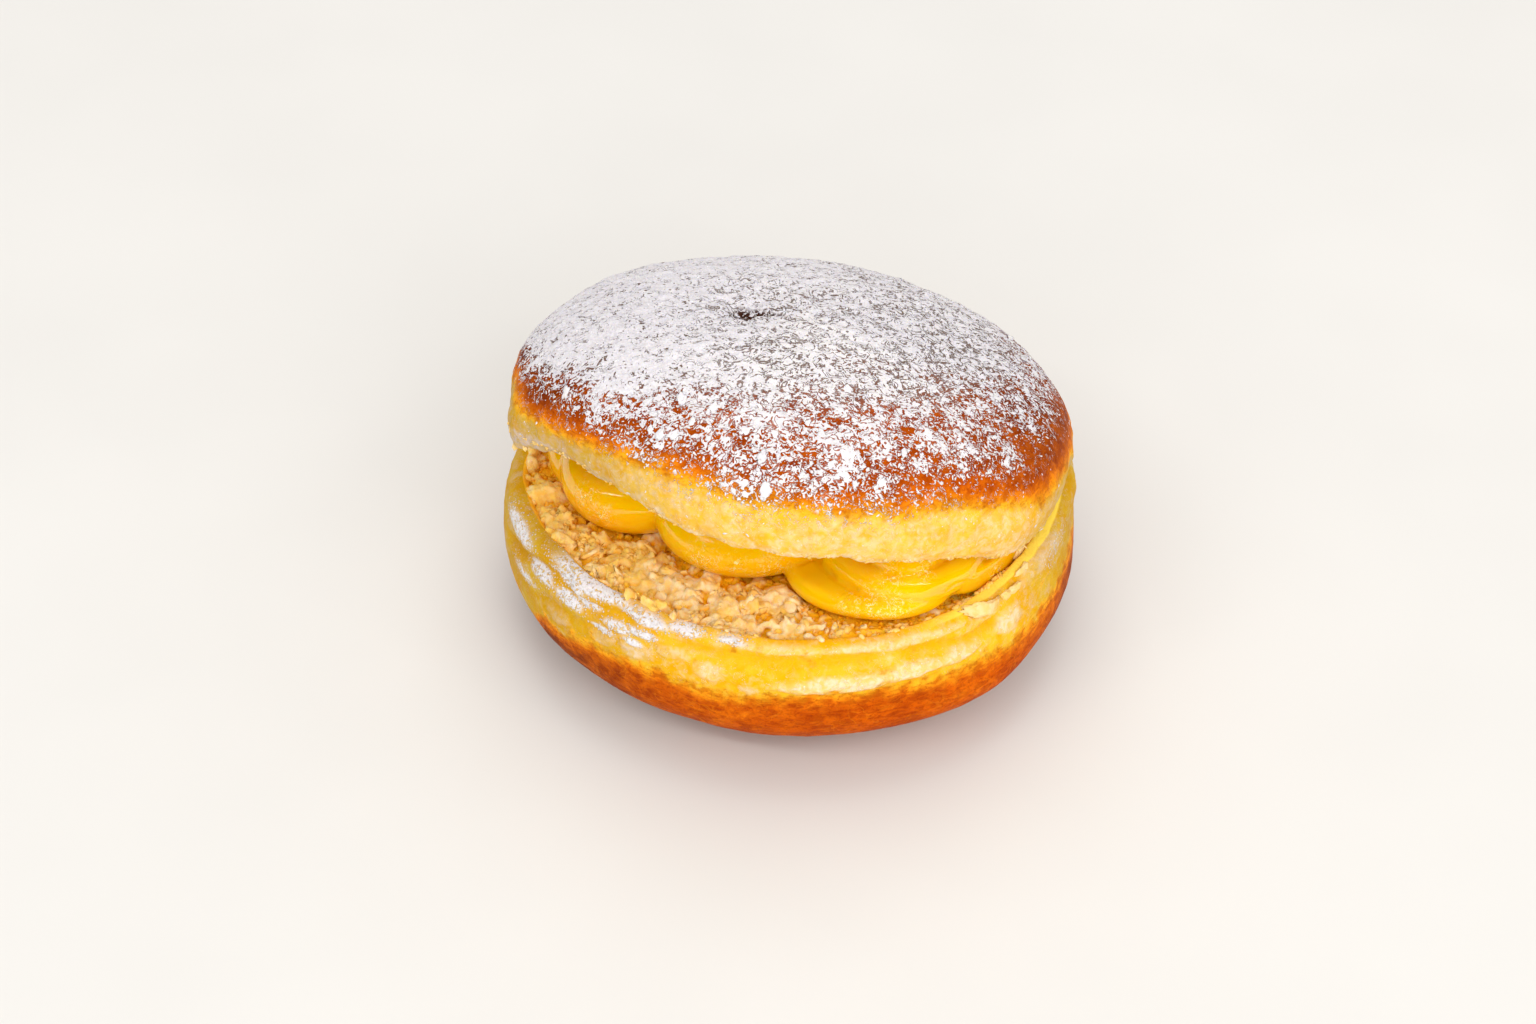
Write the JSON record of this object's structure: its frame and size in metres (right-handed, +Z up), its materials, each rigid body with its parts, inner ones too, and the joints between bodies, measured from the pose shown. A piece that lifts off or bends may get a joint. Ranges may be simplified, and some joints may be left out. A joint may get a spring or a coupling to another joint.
{
  "type": "berliner doughnut",
  "caption": "Round fried yeast doughnut cut open like a roll: pale-banded bottom half, thick piped custard layer and a domed top half dusted with icing sugar, tipped open at the front.",
  "frame": {"origin": "centre of the bounding box in X and Y, on the floor beneath the bottom half", "axes": "+Z up; the open side faces -Y; +X is the side where the two halves nearly meet"},
  "size_m": [0.0998, 0.0954, 0.0628],
  "materials": {
    "bottom_half": "soft fried dough: golden brown crust below, pale yellow torn crumb above",
    "custard_filling": "glossy thick custard",
    "top_half": "golden brown crust under icing sugar, pale torn band at the edge"
  },
  "bodies": {
    "root": {"bottom_half": "bottom_half", "custard_filling": "custard_filling", "top_half": "top_half"}
  },
  "joints": []
}
